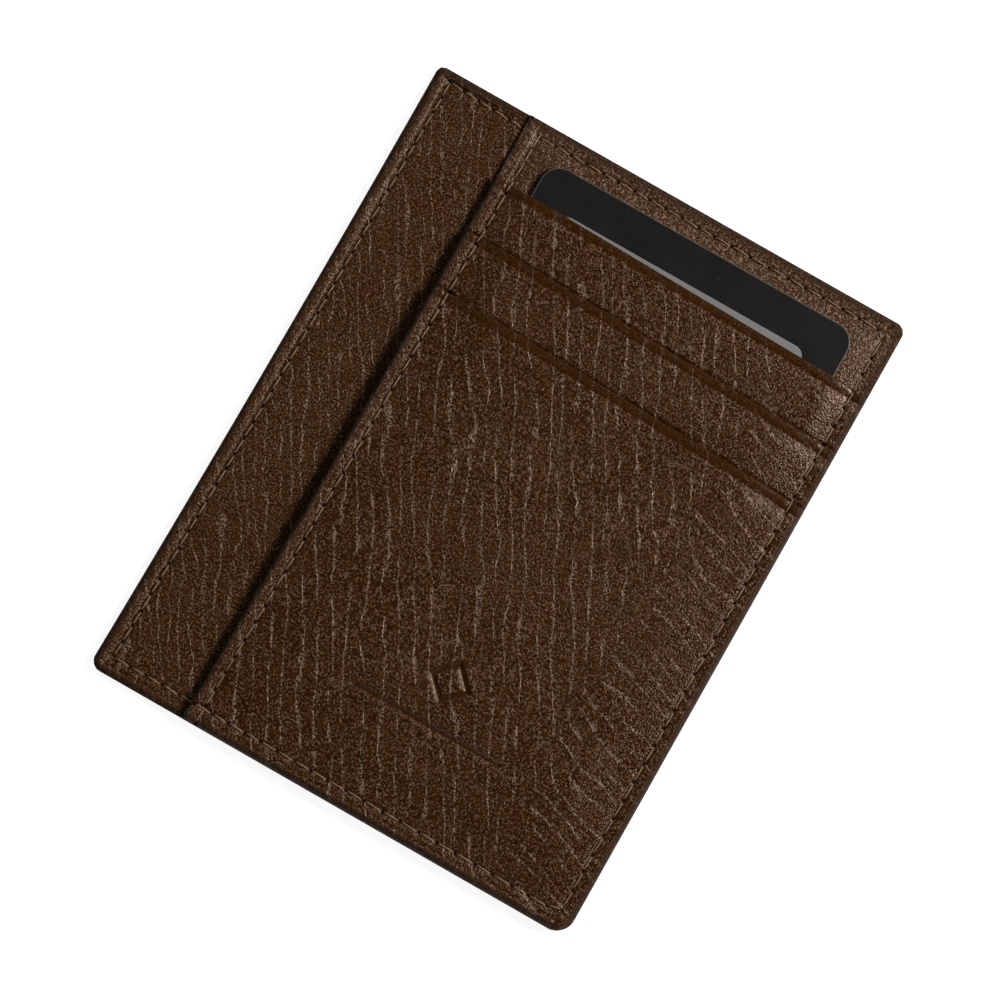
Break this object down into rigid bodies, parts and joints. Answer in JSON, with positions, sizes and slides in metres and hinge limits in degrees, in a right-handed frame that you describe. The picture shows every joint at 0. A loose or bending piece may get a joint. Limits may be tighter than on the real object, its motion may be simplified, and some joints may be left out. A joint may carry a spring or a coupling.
{
  "type": "card wallet",
  "caption": "Slim upright card wallet with shingled front pockets, a side-entry slip pocket and a bank-size card that slides out.",
  "frame": {"origin": "centre of the outline at the back face, which the wallet lies on", "axes": "+Z out of the front, where the card pockets are; +Y up the wallet towards the card mouths; +X to the right, away from the slip pocket's side opening"},
  "size_m": [0.0828, 0.107, 0.0063],
  "materials": {
    "back_leather": "pebbled dark brown leather, waxed satin",
    "strip_leather": "fine-grained dark brown leather, satin",
    "pocket_leather": "pebbled dark brown leather, satin with wax sheen",
    "lining_cloth": "plain-woven dark brown lining cloth",
    "stiffener_board": "thin bonded stiffener board, matt",
    "thread": "twisted golden-tan polyester thread",
    "card_plastic": "satin black card plastic",
    "card_print": "grey printed panel under a satin laminate"
  },
  "bodies": {
    "wallet": {"back_panel": "back_leather", "back_stiffener": "stiffener_board", "inner_panel": "strip_leather", "slip_pocket_lining": "lining_cloth", "stack_base": "strip_leather", "stack_edge_hem": "pocket_leather", "pocket_1_panel": "pocket_leather", "pocket_1_hem": "pocket_leather", "pocket_1_lining": "lining_cloth", "pocket_1_seam_thread": "thread", "pocket_2_panel": "pocket_leather", "pocket_2_hem": "pocket_leather", "pocket_2_lining": "lining_cloth", "pocket_2_seam_thread": "thread", "pocket_3_panel": "pocket_leather", "pocket_3_hem": "pocket_leather", "pocket_3_lining": "lining_cloth", "perimeter_needle_thread": "thread", "perimeter_bobbin_thread": "thread", "edge_needle_thread": "thread", "edge_bobbin_thread": "thread"},
    "card": {"card_body": "card_plastic", "card_print": "card_print"}
  },
  "joints": [
    {"name": "card_slide", "type": "slide", "parent": "wallet", "child": "card", "axis": [0, 1, 0], "range_m": [0, 0.092]}
  ]
}
